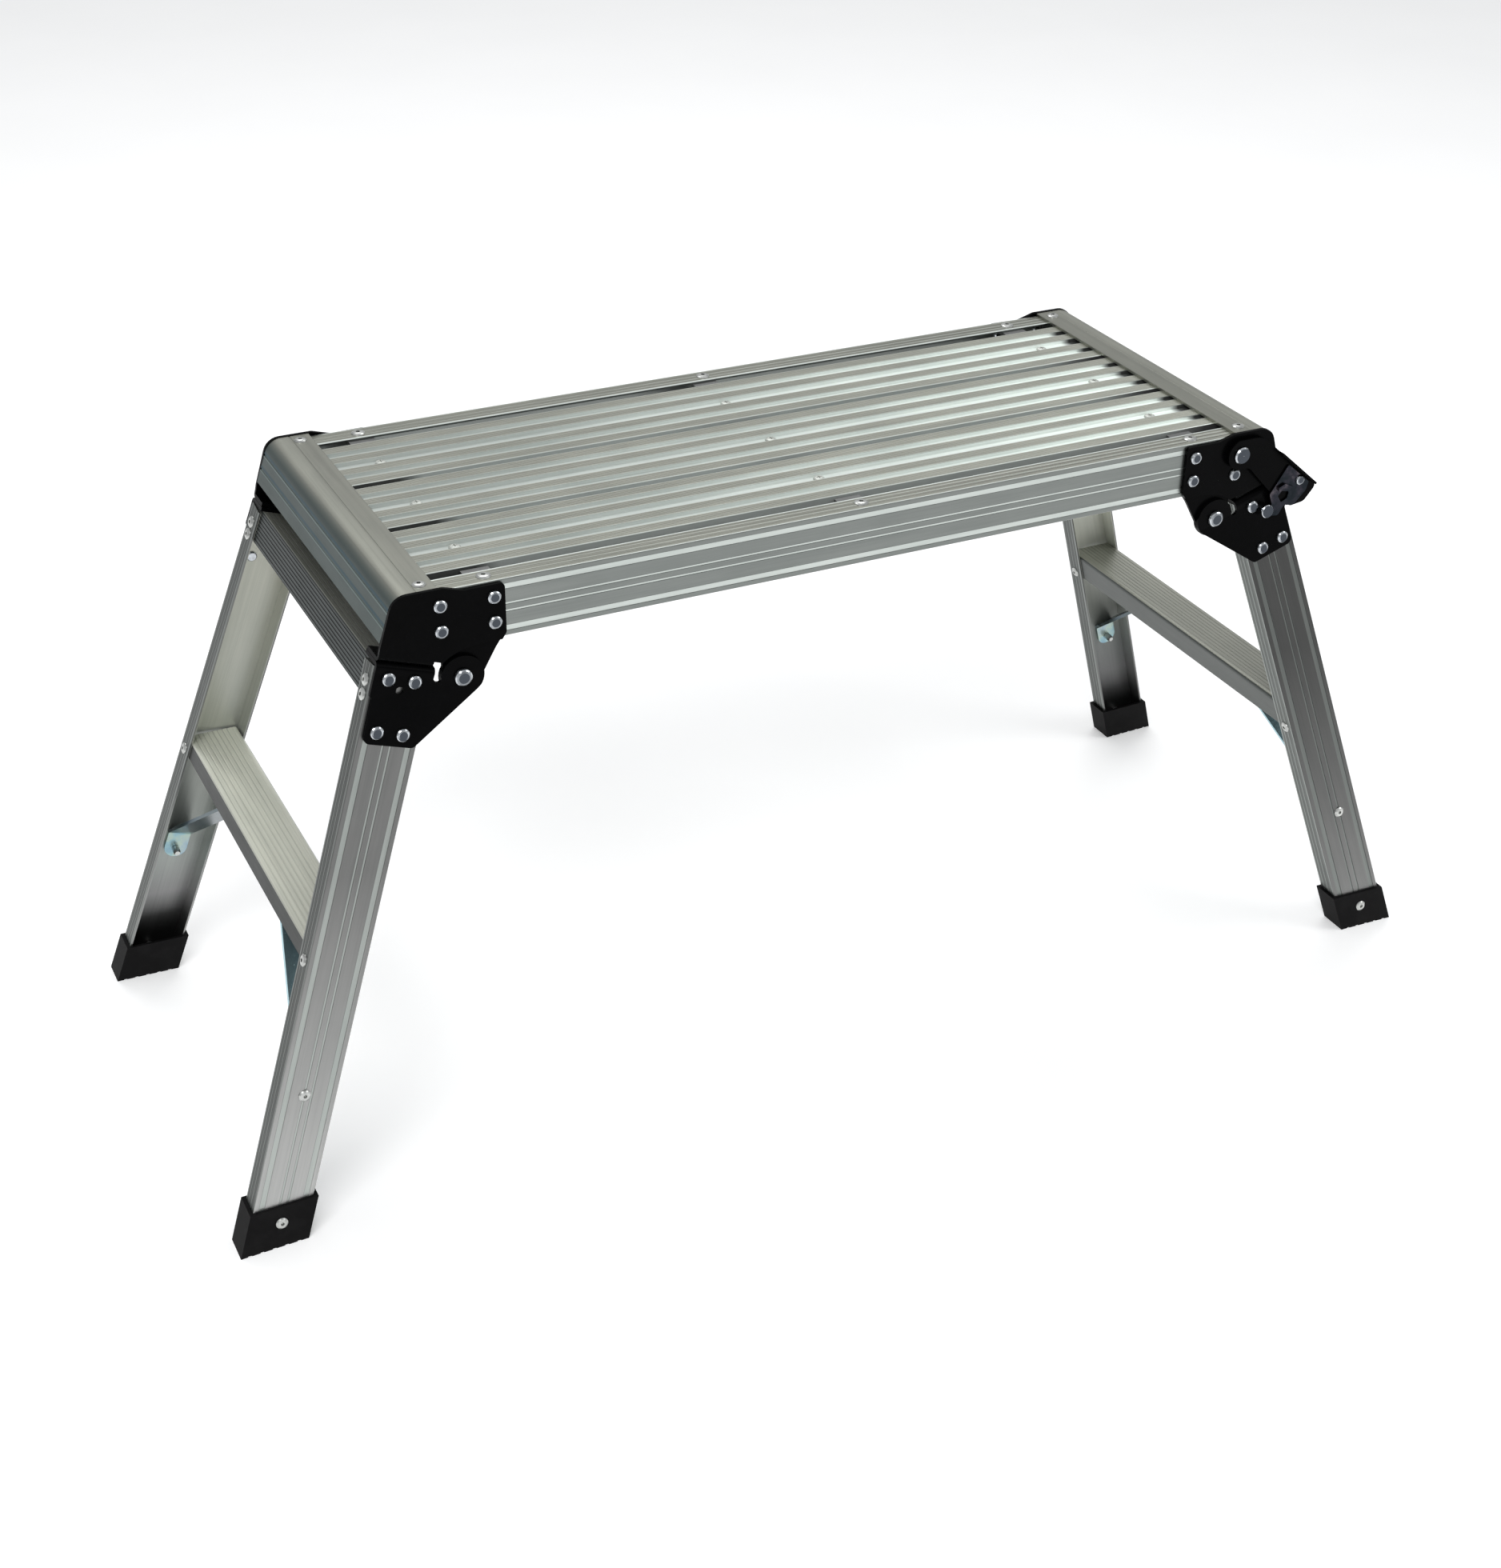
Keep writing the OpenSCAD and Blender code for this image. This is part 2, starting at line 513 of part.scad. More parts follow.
// moulded foot, a cup round the end of the leg
foot_t = 2.9;
tread_n = 5;
module foot_body() color(black_rubber) difference() {
  intersection() {
    left_frame() flared() translate([-leg_v - foot_t, -foot_t, -560])
      cube([chan_w + 2 * foot_t, chan_d + 2 * foot_t, 560]);
    translate([-700, -400, 0]) cube([1400, 800, foot_rim]);
  }
  over_floor(floor_t) left_frame() flared() translate([-leg_v - 0.1, -0.1, -540])
    cube([chan_w + 0.2, chan_d + 0.2, 540]);
  left_frame() flared() web_holes([foot_riv], 2.6);
  for (k = [0:tread_n - 1]) translate([-555 + k * 10, -240, -1]) cube([3, 60, 1.8]);
}
module foot_front_left() foot_body();
module foot_rear_left() rear() foot_body();
module foot_front_right() right() foot_body();
module foot_rear_right() right() rear() foot_body();

// ---------- lower hinge plates ----------
function low_outline() = [for (p = [[-16.25, 5, 0], [-14.2, 8.4, 3], [26, 59.2, 5], [66.2, 59.2, 5.5],
  [66.6, 25, 3], [68.6, 22.5, 3], [68.6, 4.98, 0], [low_slot_v, 4.98, 0], [20.4, 7.1, 2],
  [15.9, 7.1, 2], [16.25, 4.98, 0]])
  [-p[0], fz(p[1]), p[2]]];
module lower_plate_body(holes) color(black_paint) left_frame() difference() {
  union() {
    flared() xz(-plate_t, 0) polygon(rounded(low_outline()));
    xz(-low_out, -low_in) polygon(arc([0, 0], 17, -17.1, 197.1, 28));
    yz(-68.6, -low_slot_v) polygon(concat(
      [[-low_in, -5], [-low_out, -5]],
      arc([-low_out + 4.5, -low_top_u - 4.5], 4.5, 180, 90, 6),
      [[-134.5, -low_top_u], [-134.5, -low_top_u - plate_t]],
      arc([-low_in - 1.5 + 3, -low_top_u - 4.5], 1.5, 90, 180, 4)));
  }
  flared() {
    web_holes(holes, 3.1);
    web_holes([catch_vu], 3.1);
  }
  ycyl(0, 0, -low_out - 1, -low_in + 1, pin_r + pin_clear);
}
module lower_plate_front_left() lower_plate_body(low_rivets);
module lower_plate_rear_left() rear() lower_plate_body(low_rivets);
module lower_plate_front_right() right() lower_plate_body(low_rivets_latch);
module lower_plate_rear_right() right() rear() lower_plate_body(low_rivets);

// a rivet next to the bend stands a little off the plate
function off_bend(u) = u < 14 ? 0.27 : 0;
module low_rivet_set(list) left_frame() flared() for (q = list)
  translate([-q[0], -plate_t - off_bend(q[1]), fz(q[1])]) head_front()
    plate_rivet(5.4, 2.8, 3, plate_t + chan_t + off_bend(q[1]), 4.5, 1.6);
module lower_plate_rivets_left() color(steel) {
  low_rivet_set(low_rivets);
  rear() low_rivet_set(low_rivets);
}
module lower_plate_rivets_right() color(steel) right() {
  low_rivet_set(low_rivets_latch);
  rear() low_rivet_set(low_rivets);
}

// blind rivets of one side of a leg frame
module leg_rivet_set() left_frame() flared() {
  for (u = bar_riv_u) translate([-leg_v, flange_mid, fz(u)]) head_out() blind_rivet(5, 1.8, 2.5, 4.4,
    3.6, 3);
  translate([-leg_v, flange_mid, fz(step_riv_u)]) head_out() blind_rivet(5, 1.8, 2.5, 4.4, 3.6, 3);
  translate([-leg_in_v, flange_mid, fz(step_riv_u)]) head_in() blind_rivet(5, 1.8, 2.5, 4.4, 3.6, 3);
  translate([-brace_riv[0], 0, fz(brace_riv[1])]) head_front() blind_rivet(5, 1.8, 2.5, 5.3, 3.2, 8);
  translate([-foot_riv[0], -foot_t, fz(foot_riv[1])]) head_front() blind_rivet(5, 1.8, 2.5, 5.2, 3.2, 8);
}
module leg_rivets_left() color(steel) {
  leg_rivet_set();
  rear() leg_rivet_set();
}
module leg_rivets_right() color(steel) right() {
  leg_rivet_set();
  rear() leg_rivet_set();
}

// ---------- latches, drawn at the front left ----------
// catch pin on the leg, stepped at the plate, with a flat head outside the tongue
module catch_pin_body() left_frame() flared() translate([-catch_vu[0], -plate_t, fz(catch_vu[1])])
  head_front()
  rotate_extrude() polygon([[0, -6.8], [3.8, -6.8], [4.6, -6], [4.6, -5], [3, -5], [3, 0], [catch_r, 0],
    [catch_r, 5.2], [5.8, 5.2], [5.8, 6.6], [5.2, 7.2], [0, 7.2]]);
module catch_pin() color(steel) right() catch_pin_body();

// rivet the lever turns on, shouldered to space the lever off the plate
module pivot_rivet() translate([-latch_x, -up_out, latch_z]) head_front()
  rotate_extrude() polygon([[0, -6.6], [4.6, -6.6], [5.4, -6], [5.4, -5], [3.9, -5], [3.9, 0], [7, 0],
    [7, 2.7], [latch_journal, 2.7], [latch_journal, 5.3], [7.4, 5.3], [7.4, 6.4], [6.4, 7.6], [0, 7.9]]);
module latch_pivot_rivet() color(steel) right() pivot_rivet();
function lever_outline() = [[-339.5, 480.4, 12.8], [-339.5, 506.4, 12.8], [-372.8, 506.4, 18], [-436.4,
  452.6, 5],
  [-425, 438.6, 7], [-411, 436.6, 5], [-389, 452, 8], [-362, 480.4, 9]];
module lever() color(black_paint) difference() {
  union() {
    xz(-lever_out, -lever_in) polygon(rounded(lever_outline()));
    xz(-lever_out - 7, -lever_in) polygon([[-391.5, 490.6], [-431, 457.2], [-429.8, 455.8], [-390.3,
      489.2]]);
  }
  ycyl(-latch_x, latch_z, -lever_out - 1, -lever_in + 1, latch_journal + pin_clear);
  ycyl(-416.5, 460.5, -lever_out - 1, -lever_in + 1, 2.6);
}
function tongue_outline() = [[-402.6, 476.6, 1.5], [-386.4, 451.8, 2.5], [-389.8, 443, 3],
  [-390.2, 431.8, 2], [-398, 430.8, 3.5], [-403, 439.5, 3], [-413, 437.5, 3], [-424.5, 449.5, 5],
  [-426.5, 457, 2]];
// a window in the tongue, with a tab bent out of it
function window_outline() = [[-395.4, 449, 1], [-399.5, 442.6, 1], [-405.4, 445.5, 1.5],
  [-406.5, 451.6, 1.5], [-399, 453.2, 1]];
function tab_outline() = [[-393.6, 457.6, 1], [-400, 460.4, 1.5], [-410.6, 455.2, 1], [-409.6, 451.6, 1],
  [-400, 455.6, 2], [-394.6, 453.8, 1]];
module tongue() color(zinc) difference() {
  union() {
    difference() {
      xz(-tongue_out, -lever_out) polygon(rounded(tongue_outline()));
      xz(-tongue_out - 1, -lever_out + 1) polygon(rounded(window_outline()));
    }
    xz(-tongue_out - 2.2, -tongue_out + 0.2) polygon(rounded(tab_outline()));
  }
  ycyl(-416.5, 460.5, -tongue_out - 1, -lever_out + 1, 2.6);
}
module tongue_rivet() color(steel) translate([-416.5, -tongue_out, 460.5]) head_front()
  plate_rivet(4.4, 2, 2.5, 3.5, 3.6, 1.2);
module latch_lever() right() lever();
module latch_tongue() right() tongue();
module latch_tongue_rivet() right() tongue_rivet();

deck_plank_front();
deck_plank_middle();
deck_plank_rear();
side_rail_front();
side_rail_rear();
end_nose_left();
end_nose_right();
cross_member_left();
cross_member_middle();
cross_member_right();
rail_brackets();
bracket_rivets();
deck_screws();
rail_rivets();
nose_rivets();
upper_plate_front_left();
upper_plate_rear_left();
upper_plate_front_right();
upper_plate_rear_right();
upper_plate_rivets();
hinge_pins();
latch_pivot_rivet();
latch_lever();
latch_tongue();
latch_tongue_rivet();
leg_front_left();
leg_rear_left();
leg_front_right();
leg_rear_right();
top_crossbar_left();
top_crossbar_right();
step_left();
step_right();
brace_front_left();
brace_rear_left();
brace_front_right();
brace_rear_right();
foot_front_left();
foot_rear_left();
foot_front_right();
foot_rear_right();
lower_plate_front_left();
lower_plate_rear_left();
lower_plate_front_right();
lower_plate_rear_right();
lower_plate_rivets_left();
lower_plate_rivets_right();
leg_rivets_left();
leg_rivets_right();
catch_pin();
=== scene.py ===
import bpy
import json
import math
from mathutils import Matrix, Vector


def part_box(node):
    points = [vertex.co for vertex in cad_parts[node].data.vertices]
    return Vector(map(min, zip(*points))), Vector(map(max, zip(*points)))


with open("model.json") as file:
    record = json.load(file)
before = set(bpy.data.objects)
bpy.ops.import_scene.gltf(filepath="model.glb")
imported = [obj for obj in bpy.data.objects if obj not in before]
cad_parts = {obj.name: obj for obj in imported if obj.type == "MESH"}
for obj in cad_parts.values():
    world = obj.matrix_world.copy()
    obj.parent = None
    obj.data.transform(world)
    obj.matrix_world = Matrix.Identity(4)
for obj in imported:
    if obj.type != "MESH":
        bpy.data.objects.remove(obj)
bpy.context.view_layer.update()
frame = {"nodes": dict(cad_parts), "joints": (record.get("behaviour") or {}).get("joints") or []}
nodes = frame["nodes"]
scene = bpy.context.scene

# ---------------------------------------------------------------- frame facts
joints = {j["name"]: j for j in frame["joints"]}
PIVOT = Vector(joints["left_leg_fold"]["pos_m"])
PIVOT_X = abs(PIVOT.x)
DECK_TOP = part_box("side_rail_front")[1].z
RAIL_Y = -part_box("side_rail_front")[0].y
SPLAY = math.radians(18.8)
FLARE = math.radians(6.6)
LEG_V = 0.069
HINGE_DROP = 0.005
PLATE_GAP = 0.0008
FRONT_Y = -0.1
STUDIO_GREY = (0.97, 0.985, 1.0)


def leg_axes(side, face):
    """Outward and downward directions of a leg; side -1 left, 1 right; face -1 front, 1 rear."""
    out = Vector((side * math.cos(SPLAY), 0, math.sin(SPLAY)))
    down = Vector((side * math.sin(SPLAY) * math.cos(FLARE), face * math.sin(FLARE),
                   -math.cos(SPLAY) * math.cos(FLARE)))
    return out, down


def slope_axes(side):
    """Outward and downward directions across a leg frame, and the middle of its hinge."""
    out = Vector((side * math.cos(SPLAY), 0, math.sin(SPLAY)))
    low = Vector((side * math.sin(SPLAY), 0, -math.cos(SPLAY)))
    return out, low, Vector((side * PIVOT_X, 0, PIVOT.z))


# ---------------------------------------------------------------- node helpers
class Tree:
    def __init__(self, name):
        self.mat = bpy.data.materials.new(name)
        self.mat.use_nodes = True
        self.t = self.mat.node_tree
        self.t.nodes.clear()
        self.out = self.t.nodes.new("ShaderNodeOutputMaterial")
        self.b = self.t.nodes.new("ShaderNodeBsdfPrincipled")
        self.t.links.new(self.b.outputs[0], self.out.inputs[0])
        self.p = self.t.nodes.new("ShaderNodeTexCoord").outputs["Object"]

    def set(self, socket, value):
        if isinstance(value, bpy.types.NodeSocket):
            self.t.links.new(value, self.b.inputs[socket])
        else:
            self.b.inputs[socket].default_value = value

    def put(self, node, i, value):
        if isinstance(value, bpy.types.NodeSocket):
            self.t.links.new(value, node.inputs[i])
        else:
            node.inputs[i].default_value = value

    def math(self, op, a, b=0.0, c=0.0, clamp=False):
        n = self.t.nodes.new("ShaderNodeMath")
        n.operation = op
        n.use_clamp = clamp
        self.put(n, 0, a)
        self.put(n, 1, b)
        self.put(n, 2, c)
        return n.outputs[0]

    def dot(self, v, offset=0.0):
        n = self.t.nodes.new("ShaderNodeVectorMath")
        n.operation = "DOT_PRODUCT"
        self.t.links.new(self.p, n.inputs[0])
        n.inputs[1].default_value = tuple(v)
        return self.math("ADD", n.outputs["Value"], offset)

    def comb(self, x, y, z):
        n = self.t.nodes.new("ShaderNodeCombineXYZ")
        for i, v in enumerate((x, y, z)):
            self.put(n, i, v)
        return n.outputs[0]

    def noise(self, vec, scale, detail=3.0, rough=0.55):
        n = self.t.nodes.new("ShaderNodeTexNoise")
        self.t.links.new(vec, n.inputs["Vector"])
        n.inputs["Scale"].default_value = scale
        n.inputs["Detail"].default_value = detail
        n.inputs["Roughness"].default_value = rough
        return n.outputs["Fac"]

    def ramp(self, fac, stops):
        n = self.t.nodes.new("ShaderNodeValToRGB")
        self.t.links.new(fac, n.inputs[0])
        e = n.color_ramp.elements
        while len(e) < len(stops):
            e.new(0.5)
        for k, (pos, col) in zip(e, stops):
            k.position = pos
            k.color = (*col, 1.0) if hasattr(col, "__len__") else (col, col, col, 1.0)
        return n.outputs[0]

    def mix(self, fac, a, b, kind="MIX"):
        n = self.t.nodes.new("ShaderNodeMix")
        n.data_type = "RGBA"
        n.blend_type = kind
        self.put(n, 0, fac)
        self.put(n, 6, a if isinstance(a, bpy.types.NodeSocket) else (*a, 1.0))
        self.put(n, 7, b if isinstance(b, bpy.types.NodeSocket) else (*b, 1.0))
        return n.outputs[2]

    def span(self, x, lo, hi, soft=0.0002):
        """1 where lo < x < hi, soft at both ends."""
        up = self.math("DIVIDE", self.math("SUBTRACT", x, lo), soft, clamp=True)
        down = self.math("DIVIDE", self.math("SUBTRACT", hi, x), soft, clamp=True)
        return self.math("MULTIPLY", up, down)

    def any(self, parts):
        r = parts[0]
        for q in parts[1:]:
            r = self.math("MAXIMUM", r, q)
        return r

    def lines(self, x, first, pitch, count, half, soft=0.0002):
        """count thin lines, the first at first, each one pitch after the other."""
        lo, pitch = (first, pitch) if pitch > 0 else (first + (count - 1) * pitch, -pitch)
        q = self.math("FLOORED_MODULO", self.math("SUBTRACT", x, lo - pitch / 2), pitch)
        q = self.math("ABSOLUTE", self.math("SUBTRACT", q, pitch / 2))
        q = self.math("DIVIDE", self.math("SUBTRACT", half, q), soft, clamp=True)
        return self.math("MULTIPLY", q, self.span(x, lo - pitch / 2, lo + (count - 0.5) * pitch))

    def bump(self, height, strength, dist):
        n = self.t.nodes.new("ShaderNodeBump")
        n.inputs["Strength"].default_value = strength
        n.inputs["Distance"].default_value = dist
        self.t.links.new(height, n.inputs["Height"])
        self.t.links.new(n.outputs[0], self.b.inputs["Normal"])


def aluminium(name, along, paint_fn, rough=0.36, fine=750.0, grain=0.05):
    """Mill-finish extrusion, drawn along one direction. paint_fn(m) returns the base colour."""
    m = Tree(name)
    along = Vector(along).normalized()
    side = along.orthogonal().normalized()
    third = along.cross(side)
    a, b, c = m.dot(along), m.dot(side), m.dot(third)
    streak = m.noise(m.comb(m.math("MULTIPLY", a, 0.006), b, c), fine, 2.0)
    broad = m.noise(m.comb(m.math("MULTIPLY", a, 0.05), b, c), 190.0, 3.0)
    cloud = m.noise(m.p, 9.0, 4.0)
    smear = m.noise(m.comb(m.math("MULTIPLY", a, 0.35), b, c), 60.0, 4.0, 0.65)
    speck = m.noise(m.comb(m.math("MULTIPLY", a, 0.1), b, c), 1500.0, 1.0)
    m.metal = 1.0
    base = paint_fn(m)
    tone = m.ramp(streak, [(0.25, 0.90), (0.5, 0.98), (0.78, 1.0)])
    tone2 = m.ramp(m.math("ADD", m.math("MULTIPLY", broad, 0.6), m.math("MULTIPLY", cloud, 0.4)),
                   [(0.35, (0.88, 0.89, 0.885)), (0.62, (1.0, 1.0, 0.995))])
    col = m.mix(1.0, m.mix(1.0, base, tone, "MULTIPLY"), tone2, "MULTIPLY")
    m.set("Base Color", col)
    m.set("Metallic", m.metal)
    r = m.math("ADD", m.math("MULTIPLY", streak, 0.12), m.math("MULTIPLY", smear, 0.16))
    m.set("Roughness", m.math("ADD", r, rough - 0.12, clamp=True))
    height = m.math("ADD", m.math("MULTIPLY", streak, 0.6), m.math("MULTIPLY", smear, 0.25))
    m.bump(m.math("ADD", height, m.math("MULTIPLY", speck, 0.15)), grain, 0.00025)
    return m


def grey(k, tint=(1.0, 1.0, 1.0)):
    return tuple(k * t for t in tint)


WARM = (0.99, 1.0, 0.88)
COOL = (0.94, 1.0, 0.96)
TEAL = (0.80, 1.0, 0.96)
PLAIN = (1.0, 1.0, 0.985)
X, Y, Z = (1, 0, 0), (0, 1, 0), (0, 0, 1)
FLANGE0, FLANGE_P = 0.0042, 0.0029


def run(m, x, lo, hi, first, last):
    """Colour that changes evenly from first at lo to last at hi."""
    part = m.math("DIVIDE", m.math("SUBTRACT", x, lo), hi - lo, clamp=True)
    return m.ramp(part, [(0.0, first), (1.0, last)])


def plank_paint(mid):
    def fn(m):
        x, y, z = m.dot(X), m.math("ABSOLUTE", m.dot(Y, -mid)), m.dot(Z)
        # painted light: the strips and the pale groove floors grow lighter from left to right
        strip_light_ramp = run(m, x, -0.36, 0.36, grey(0.38, WARM), grey(0.48, WARM))
        pale = run(m, x, -0.30, 0.30, grey(0.56, COOL), grey(1.0, COOL))
        low = m.math("DIVIDE", m.math("SUBTRACT", DECK_TOP - 0.0004, z), 0.0002, clamp=True)
        band = m.any([m.span(y, -1, 0.0066), m.span(y, 0.0178, 0.0272)])
        # painted shadow: the groove floors turn dark just before the right-hand nose's edge
        nose_shadow = m.math("DIVIDE", m.math("SUBTRACT", x, NOSE_X - 0.013), 0.008, clamp=True)
        pale = m.mix(nose_shadow, pale, (0.085, 0.088, 0.085))
        base = m.mix(m.math("MULTIPLY", band, low), strip_light_ramp, pale)
        # painted shade: dark lines along the fine rib grooves of the strips
        rib_shade = m.any([m.lines(y, 0.0066 + 0.00228, 0.00228, 4, 0.00038),
                     m.lines(y, 0.0270 + 0.00246, 0.00246, 4, 0.00038)])
        base = m.mix(m.math("MULTIPLY", rib_shade, 0.28), base, grey(0.16, WARM))
        # painted highlight: thin bright lines along the top edges of the grooves, the trough and the plank
        edge_highlight = m.any([m.span(y, 0.0063, 0.0069), m.span(y, 0.0176, 0.0182), m.span(y, 0.0268, 0.0274),
                     m.span(y, 0.0385, 0.1)])
        top = m.math("DIVIDE", m.math("SUBTRACT", z, DECK_TOP - 0.0007), 0.0002, clamp=True)
        base = m.mix(m.math("MULTIPLY", m.math("MULTIPLY", edge_highlight, top), 0.7), base, grey(0.95, COOL))
        wall = m.math("MULTIPLY", m.span(y, 0.0391, 0.1, 0.0001), m.math("SUBTRACT", 1.0, top))
        # painted shade: the side walls darken towards the right-hand nose and are dark near the left end
        side = m.mix(m.math("DIVIDE", m.math("SUBTRACT", x, NOSE_X - 0.05), 0.04, clamp=True),
                     (0.52, 0.55, 0.535), (0.12, 0.12, 0.12))
        gap_shade = m.math("DIVIDE", m.math("SUBTRACT", 0.06 - NOSE_X, x), 0.02, clamp=True)
        side = m.mix(gap_shade, side, (0.10, 0.105, 0.10))
        floor_dull = m.math("MULTIPLY", m.math("MULTIPLY", band, low), 0.45)
        dull = m.math("MAXIMUM", m.math("MULTIPLY", wall, 0.45), floor_dull)
        m.metal = m.math("SUBTRACT", 1.0, dull)
        return m.mix(wall, base, side)
    return fn


def channel_paint(m, depth, across, web, web_light, flange, flange_rib_shade, flange_highlight, crisp=0.6):
    """depth is the distance inwards from the web's outer face, across the distance over the width."""
    outer = m.math("DIVIDE", m.math("SUBTRACT", 0.0010, depth), 0.0004, clamp=True)
    pale = m.any([m.span(across, lo, hi) for lo, hi in WEB_BANDS])
    face = m.mix(m.math("MULTIPLY", pale, outer), web, web_light)
    edge_line = m.any([m.span(across, lo - 0.0004, lo + 0.0001, 0.0001) for lo, hi in WEB_BANDS])
    face = m.mix(m.math("MULTIPLY", m.math("MULTIPLY", edge_line, outer), 0.5), face, grey(0.14, COOL))
    # painted shade: dark lines in the flange's fine rib grooves; painted highlights along the flange's
    # edges and between the ribs; crisp sets how strong both are
    rib_shade = m.lines(depth, FLANGE0 + FLANGE_P / 2, FLANGE_P * 2, 3, 0.0011, 0.0007)
    bright = m.any([m.span(depth, 0.0003, 0.0017, 0.0004), m.span(depth, 0.0180, 0.0205, 0.0004)])
    shine = m.lines(depth, FLANGE0 + FLANGE_P * 1.5 - 0.0003, FLANGE_P * 2, 2, 0.0006, 0.0004)
    side = m.mix(m.math("MULTIPLY", rib_shade, crisp), flange, flange_rib_shade)
    shine = m.math("MULTIPLY", shine, crisp)
    side = m.mix(m.math("MULTIPLY", m.math("MAXIMUM", bright, shine), 0.8), side, flange_highlight)
    on_flange = m.math("SUBTRACT", 1.0, m.span(across, 0.0004, CHAN_W - 0.0004, 0.0002))
    inside = m.math("DIVIDE", m.math("SUBTRACT", depth, 0.0003), 0.0003, clamp=True)
    return m.mix(m.math("MULTIPLY", on_flange, inside), face, side)


WEB_BANDS = [(0.0040, 0.0085), (0.0194, 0.0211), (0.0254, 0.0271), (0.0380, 0.0425)]
CHAN_W = 0.0465


def rail_paint(m):
    depth = m.math("SUBTRACT", RAIL_Y, m.math("ABSOLUTE", m.dot(Y)))
    across = m.dot((0, 0, -1), DECK_TOP)
    # the flange's painted rib shade and highlights grow stronger towards +X
    return channel_paint(m, depth, across, grey(0.25, COOL), grey(0.64, COOL), grey(0.36, WARM),
                         grey(0.14, WARM), grey(1.0, COOL),
                         m.math("ADD", m.math("MULTIPLY", m.dot(X), 0.75), 0.42, clamp=True))


def leg_paint(side, face, hi, lo, inner_top_light, inner_low_shade, flange, matt):
    """Painted light and shade: tones at the top and the foot, outside and inside, then the flange's tone
    and how matt the inside is.
    """
    out, down = leg_axes(side, face)
    pivot = Vector((side * PIVOT_X, 0, PIVOT.z))
    sf, cf = math.sin(FLARE), math.cos(FLARE)
    ss, cs = math.sin(SPLAY), math.cos(SPLAY)
    normal = Vector((-side * sf * ss, face * cf, sf * cs))
    start = Vector((side * (PIVOT_X + HINGE_DROP * ss), face * (RAIL_Y + PLATE_GAP),
                    PIVOT.z - HINGE_DROP * cs))

    def fn(m):
        depth = m.dot(-normal, normal.dot(start))
        across = m.dot(-out, out.dot(pivot) + LEG_V)
        fall = m.dot(Z)
        # painted light: the web and its pale bands change in tone from the top to the foot
        height = m.math("POWER", m.math("DIVIDE", fall, 0.30, clamp=True), 0.7 if side < 0 else 0.4)
        web = m.mix(height, grey(lo, PLAIN), grey(hi, PLAIN))
        light = m.mix(height, grey(lo * 0.97, COOL), grey(hi * 1.9, COOL))
        skin = channel_paint(m, depth, across, web, light, grey(flange, COOL),
                             grey(flange * 0.35, COOL), grey(flange * 2.2, COOL))
        # painted shade: the inside of the channel fades to near-black towards the foot and lightens towards
        # the top
        inner_light_shade = m.ramp(m.math("DIVIDE", fall, 0.45, clamp=True),
                       [(0.07, grey(0.02)), (0.115, grey(0.05)), (0.17, grey(inner_low_shade * 0.75)),
                        (0.26, grey(inner_low_shade, COOL)), (0.9, grey(inner_top_light, WARM))])
        back = m.math("MULTIPLY", m.math("DIVIDE", m.math("SUBTRACT", depth, 0.0013), 0.0004, clamp=True),
                      m.span(across, 0.0015, CHAN_W - 0.0015, 0.0003))
        m.metal = m.math("SUBTRACT", 1.0, m.math("MULTIPLY", back, matt))
        return m.mix(back, skin, inner_light_shade)
    return fn, down


def nose_paint(side):
    out, low, pivot = slope_axes(side)

    def fn(m):
        v, u = m.dot(out, -out.dot(pivot)), m.dot(low, -low.dot(pivot))
        # painted light: a broad painted highlight brightens the top towards the shoulder, and the slanted
        # face is painted dark teal as a painted reflection of darker surroundings
        shoulder_light_face_shade = m.ramp(m.math("DIVIDE", m.math("SUBTRACT", v, 0.050), 0.020, clamp=True),
                       [(0.0, grey(0.27, WARM)), (0.45, grey(0.34, WARM)), (0.72, grey(0.36, WARM)),
                        (0.93, grey(0.135, TEAL)), (1.0, grey(0.100, TEAL))])
        face = m.span(v, 0.0680, 0.09, 0.0006)
        # painted shade in the two grooves of the slanted face, each with a pale painted highlight line
        # along its edge
        groove_shade = m.mix(m.span(u, -0.0325, -0.0292, 0.0006), shoulder_light_face_shade, (0.040, 0.082, 0.10))
        groove_shade = m.mix(m.span(u, -0.0445, -0.0410, 0.0006), groove_shade, (0.040, 0.082, 0.10))
        pale = m.mix(m.span(u, -0.0288, -0.0270, 0.0006), groove_shade, grey(0.22, TEAL))
        pale = m.mix(m.span(u, -0.0408, -0.0390, 0.0006), pale, grey(0.22, TEAL))
        return m.mix(face, shoulder_light_face_shade, pale)
    return fn


def bar_paint(side):
    out, low, pivot = slope_axes(side)

    def fn(m):
        v, u = m.dot(out, -out.dot(pivot)), m.dot(low, -low.dot(pivot))
        # painted shade: the bar's face is painted very dark, with dark and pale lines as the ribs' painted
        # shade and highlights; the top, in the nose's shadow, is painted darker with dark rib lines
        face = m.mix(m.lines(u, 0.0032, 0.0032, 8, 0.0006), grey(0.034, TEAL), grey(0.014, TEAL))
        face = m.mix(m.math("MULTIPLY", m.lines(u, 0.0046, 0.0032, 8, 0.0005), 0.5), face, grey(0.13, TEAL))
        top = m.mix(m.math("MULTIPLY", m.lines(v, 0.0299, 0.004, 9, 0.0007), 0.6), grey(0.16, WARM),
                    grey(0.06, WARM))
        on_top = m.span(u, -0.01, 0.0009, 0.0003)
        m.metal = m.math("SUBTRACT", 1.0, m.math("MULTIPLY", on_top, 0.75))
        return m.mix(on_top, face, top)
    return fn


def plain(first, last, axis=X, lo=-0.5, hi=0.5):
    def fn(m):
        return run(m, m.dot(axis), lo, hi, first, last)
    return fn


